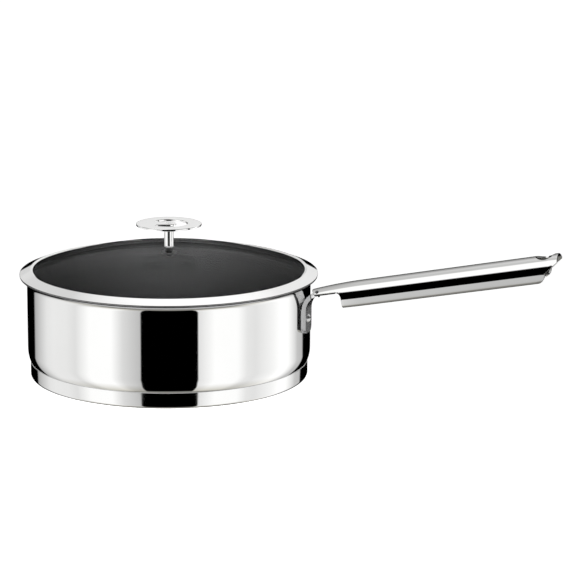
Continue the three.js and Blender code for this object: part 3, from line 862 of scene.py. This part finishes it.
def build_knob_fixings():
    gasket_top = glass_height(LOWER_GASKET_RADIUS, GLASS_THICKNESS) - GASKET_GAP
    washer_top = gasket_top - GASKET_THICKNESS
    seat = washer_top - WASHER_THICKNESS
    upper = DOME_TOP + GASKET_GAP
    build_ring("stem_gasket", "knob_gasket_upper", "silicone", SILICONE,
               STEM_RADIUS, upper, upper + GASKET_THICKNESS)
    build_ring("inside_gasket", "knob_gasket_lower", "silicone", SILICONE_DARK,
               LOWER_GASKET_RADIUS, washer_top, gasket_top)
    build_ring("inside_washer", "knob_washer", "satin_steel", STEEL_INSIDE, WASHER_RADIUS, seat, washer_top)


def build_all():
    build_pan_shell()
    build_base_cap()
    build_wall_rivet()
    build_grip()
    build_neck_rivet("neck_rivet_head_right", "neck_rivet_right", NECK_RIVET_TILT)
    build_neck_rivet("neck_rivet_head_left", "neck_rivet_left", -NECK_RIVET_TILT)
    build_glass()
    build_band()
    build_knob_ring()
    build_knob_stem()
    build_knob_fixings()
    finish_node("base_core", ALUMINIUM)
    finish_node("handle_bracket", STEEL_STRAP)
    ease_edges(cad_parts["handle_bracket"], STRAP_EDGE)
    finish_node("knob_screw", STEEL_INSIDE)


build_all()


# Studio: directions are measured from the line that runs from the pan to the camera

CAMERA_TURN = math.radians(20)
TO_CAMERA = Vector((math.sin(CAMERA_TURN), -math.cos(CAMERA_TURN), 0))
CAMERA_RIGHT = Vector((math.cos(CAMERA_TURN), math.sin(CAMERA_TURN), 0))
UP = Vector((0, 0, 1))

# Brightness round the studio at table level, by degrees to the right of the camera
TABLE_LEVEL = [
    (-180, 0), (-141.5, 0), (-140, 0.44), (-131, 0.62), (-117, 0.88), (-108, 0.93), (-92, 0.92),
    (-82, 0.85), (-68, 1.15), (-48, 1.15), (-38, 0.8), (-23.6, 0.58), (23.5, 0.86), (37, 1.15), (57, 1.13),
    (66, 0.9), (74, 0.86), (92, 1.04), (104, 1.2), (113, 1.15), (124, 0.8), (128, 0.62), (138.5, 0.54),
    (140, 0), (180, 0),
]
# Brightness by degrees above the horizon, in front of the pan and behind it
FRONT_WALL = [(0, 0), (39, 0), (43, 1.45), (90, 1.45)]
BACK_WALL = [(0, 0), (2.5, 0), (4, 0.7), (10, 0.72), (12, 0.8), (16, 0.8), (20, 0.75), (50, 0.75), (90, 0.9)]
BACK_WALL_RIGHT = [(0, 0), (2.5, 0), (4, 0.85), (20, 0.93), (50, 0.95), (90, 1)]
BLACK = (0, 0, 0)
GLOOM = (0.12, 0.12, 0.12)
UNDERFOOT = (0.285, 0.281, 0.262)
TABLE_SHADE = (0.63, 0.612, 0.56)
GLOW = (1.2, 1.2, 1.2)
BRIGHTEST = 1.5
# Where one part of the studio passes into the next, in degrees above the horizon
HORIZON = (-7, -5.5)
TABLE_SHADE_RANGE = (-57, -33)
UNDERFOOT_RANGE = (-62, -57)
# The same in degrees to the side
GLOOM_RANGE = (-35, -10)
FRONT_TO_BACK = (104, 116)
# The back wall's change to its right part, as a share of the way to the right
BACK_TO_RIGHT = (-0.05, 0.12)
# The glow overhead: its direction, and the dot products at its outer and inner edge
OVERHEAD_GLOW = CAMERA_RIGHT * 0.05 - TO_CAMERA * 0.522 + UP * 0.848
GLOW_EDGES = (0.9135, 0.9945)
# Half the width of the dark panel straight ahead, and what it gains towards its foot, in degrees
PANEL_EDGE = 22.6
PANEL_FOOT = 3.5
PANEL_FOOT_RANGE = (-57, -26)

# The studio's floor, light and boards, lengths in metres
FLOOR_HALF = 20
SOFTBOX_SIDE = 1.2
SOFTBOX_RADIANCE = 132
SOFTBOX_PLACE = TO_CAMERA * 4 + UP * 0.75
FLAG_DISTANCE = 0.25
FLAG_GAP = 0.15


def add_board(name, corners):
    mesh = bpy.data.meshes.new(name)
    mesh.from_pydata(corners, [], [(0, 1, 2, 3)])
    board = bpy.data.objects.new(name, mesh)
    bpy.context.scene.collection.objects.link(board)
    return board


def build_floor():
    half = FLOOR_HALF
    floor = add_board("floor", [(-half, -half, 0), (half, -half, 0), (half, half, 0), (-half, half, 0)])
    made, tree, shader = material("pale_floor")
    paper = noise(tree, 3, detail=4)
    tree.links.new(mix_colours(tree, paper, grey(0.9), grey(0.95)), shader.inputs["Base Color"])
    shader.inputs["Roughness"].default_value = 0.9
    shader.inputs["Emission Color"].default_value = (1, 1, 1, 1)
    shader.inputs["Emission Strength"].default_value = 1
    floor.data.materials.append(made)
    floor.visible_glossy = False


def ramp(tree, angle, stops, low, high):
    """A brightness that follows stops of (degrees, brightness)."""
    node = tree.nodes.new("ShaderNodeValToRGB")
    elements = node.color_ramp.elements
    while len(elements) < len(stops):
        elements.new(0.5)
    for element, (degrees, _) in zip(elements, stops):
        element.position = (degrees - low) / (high - low)
    for element, (_, bright) in zip(elements, stops):
        element.color = (*grey(bright / BRIGHTEST), 1)
    tree.links.new(remap(tree, angle, math.radians(low), math.radians(high)), node.inputs["Fac"])
    return node.outputs["Color"]


def dot(tree, vector, direction):
    node = tree.nodes.new("ShaderNodeVectorMath")
    node.operation = "DOT_PRODUCT"
    node.inputs[1].default_value = direction
    tree.links.new(vector, node.inputs[0])
    return node.outputs["Value"]


def feed(tree, source, socket):
    """Links a node's output to a colour socket, or sets the socket to a plain brightness."""
    if isinstance(source, bpy.types.NodeSocket):
        tree.links.new(source, socket)
    else:
        socket.default_value = (*(part / BRIGHTEST for part in source), 1)


def blend(tree, value, low, high, first, second):
    """Goes from the first brightness to the second as a value goes from low to high."""
    node = tree.nodes.new("ShaderNodeMix")
    node.data_type = "RGBA"
    tree.links.new(remap(tree, value, low, high), node.inputs["Factor"])
    feed(tree, first, node.inputs["A"])
    feed(tree, second, node.inputs["B"])
    return node.outputs["Result"]


def remap_turn(tree, angle, low, high, first=0, last=1):
    """As remap, with low and high in degrees."""
    return remap(tree, angle, math.radians(low), math.radians(high), first, last)


def blend_turn(tree, angle, low, high, first, second):
    """As blend, with low and high in degrees."""
    return blend(tree, angle, math.radians(low), math.radians(high), first, second)


def shade(tree, colour, share, tint):
    """Tints a share of a brightness."""
    node = tree.nodes.new("ShaderNodeMix")
    node.data_type = "RGBA"
    node.blend_type = "MULTIPLY"
    node.inputs["B"].default_value = (*tint, 1)
    tree.links.new(share, node.inputs["Factor"])
    tree.links.new(colour, node.inputs["A"])
    return node.outputs["Result"]


def below_horizon(tree, around, beside, climb):
    """The table with its dark panel, shaded towards the pan's foot."""
    table = ramp(tree, around, TABLE_LEVEL, -180, 180)
    table = shade(tree, table, remap_turn(tree, climb, *TABLE_SHADE_RANGE, 1, 0), TABLE_SHADE)
    foot = remap_turn(tree, climb, *PANEL_FOOT_RANGE, math.radians(PANEL_FOOT), 0)
    past_panel = reckon(tree, "SUBTRACT", beside, foot)
    table = blend_turn(tree, past_panel, PANEL_EDGE, PANEL_EDGE + 1, BLACK, table)
    return blend_turn(tree, climb, *UNDERFOOT_RANGE, UNDERFOOT, table)


def above_horizon(tree, way, right, around, beside, climb):
    """Walls in front of the pan and behind it, and a glow overhead."""
    front = ramp(tree, climb, FRONT_WALL, 0, 90)
    front = blend_turn(tree, around, *GLOOM_RANGE, front, GLOOM)
    back = ramp(tree, climb, BACK_WALL, 0, 90)
    back_right = ramp(tree, climb, BACK_WALL_RIGHT, 0, 90)
    back = blend(tree, right, *BACK_TO_RIGHT, back, back_right)
    walls = blend_turn(tree, beside, *FRONT_TO_BACK, front, back)
    return blend(tree, dot(tree, way, OVERHEAD_GLOW), *GLOW_EDGES, walls, GLOW)


def build_world():
    """What the polished steel mirrors; it doesn't light what is dull."""
    world = bpy.data.worlds.new("studio")
    bpy.context.scene.world = world
    world.use_nodes = True
    world.cycles_visibility.diffuse = False
    tree = world.node_tree
    way = tree.nodes.new("ShaderNodeTexCoord").outputs["Generated"]
    right = dot(tree, way, CAMERA_RIGHT)
    around = reckon(tree, "ARCTAN2", right, dot(tree, way, TO_CAMERA))
    beside = reckon(tree, "ABSOLUTE", around)
    climb = reckon(tree, "ARCSINE", dot(tree, way, UP))
    below = below_horizon(tree, around, beside, climb)
    above = above_horizon(tree, way, right, around, beside, climb)
    background = tree.nodes["Background"]
    background.inputs["Strength"].default_value = BRIGHTEST
    tree.links.new(blend_turn(tree, climb, *HORIZON, below, above), background.inputs["Color"])


def build_softbox():
    """A large soft light behind the camera for what isn't polished."""
    light = bpy.data.lights.new("softbox", "AREA")
    light.shape = "RECTANGLE"
    light.size = SOFTBOX_SIDE
    light.size_y = SOFTBOX_SIDE
    light.energy = SOFTBOX_RADIANCE * math.pi * SOFTBOX_SIDE ** 2
    softbox = bpy.data.objects.new("softbox", light)
    aim = SOFTBOX_PLACE.to_track_quat("Z", "Y").to_matrix().to_4x4()
    softbox.matrix_world = Matrix.Translation(SOFTBOX_PLACE) @ aim
    softbox.visible_glossy = False
    bpy.context.scene.collection.objects.link(softbox)


def build_flags():
    """Two boards, a metre wide and high, beside the softbox's light.
    They only shade, so that the pan's inside darkens to its sides."""
    made, tree, shader = material("flag_cloth")
    cloth = noise(tree, 900)
    tree.links.new(mix_colours(tree, cloth, grey(0.01), grey(0.02)), shader.inputs["Base Color"])
    for side in (-1, 1):
        inner = TO_CAMERA * FLAG_DISTANCE + CAMERA_RIGHT * side * FLAG_GAP / 2
        outer = inner + CAMERA_RIGHT * side
        flag = add_board("flag", [inner, outer, outer + UP, inner + UP])
        flag.data.materials.append(made)
        flag.visible_camera = False
        flag.visible_diffuse = False
        flag.visible_glossy = False
        flag.visible_transmission = False


# Camera: placed before the pan, then aimed by turning right, down and over

CAMERA_DISTANCE = 2.3
CAMERA_RISE = math.radians(13.6765)
CAMERA_TARGET_HEIGHT = 0.045
CAMERA_YAW = math.radians(2.6187)
CAMERA_PITCH = math.radians(12.9675)
CAMERA_ROLL = math.radians(0.3141)
FOCAL_PIXELS = 2678.14
IMAGE_PIXELS = 577
SENSOR = 36


def build_camera():
    data = bpy.data.cameras.new("camera")
    data.sensor_width = SENSOR
    data.lens = SENSOR * FOCAL_PIXELS / IMAGE_PIXELS
    data.clip_end = 100
    camera = bpy.data.objects.new("camera", data)
    turn = Matrix.Rotation(CAMERA_TURN, 3, "Z")
    ahead = Vector((
        math.sin(CAMERA_YAW) * math.cos(CAMERA_PITCH),
        math.cos(CAMERA_YAW) * math.cos(CAMERA_PITCH),
        -math.sin(CAMERA_PITCH),
    ))
    right = Vector((math.cos(CAMERA_YAW), -math.sin(CAMERA_YAW), 0))
    up = right.cross(ahead)
    rolled_right = right * math.cos(CAMERA_ROLL) + up * math.sin(CAMERA_ROLL)
    rolled_up = up * math.cos(CAMERA_ROLL) - right * math.sin(CAMERA_ROLL)
    axes = Matrix((turn @ rolled_right, turn @ rolled_up, turn @ -ahead)).transposed()
    place = TO_CAMERA * CAMERA_DISTANCE * math.cos(CAMERA_RISE)
    place.z = CAMERA_TARGET_HEIGHT + CAMERA_DISTANCE * math.sin(CAMERA_RISE)
    camera.matrix_world = Matrix.Translation(place) @ axes.to_4x4()
    bpy.context.scene.collection.objects.link(camera)
    bpy.context.scene.camera = camera


build_floor()
build_world()
build_softbox()
build_flags()
build_camera()
bpy.context.scene.view_settings.view_transform = "Standard"
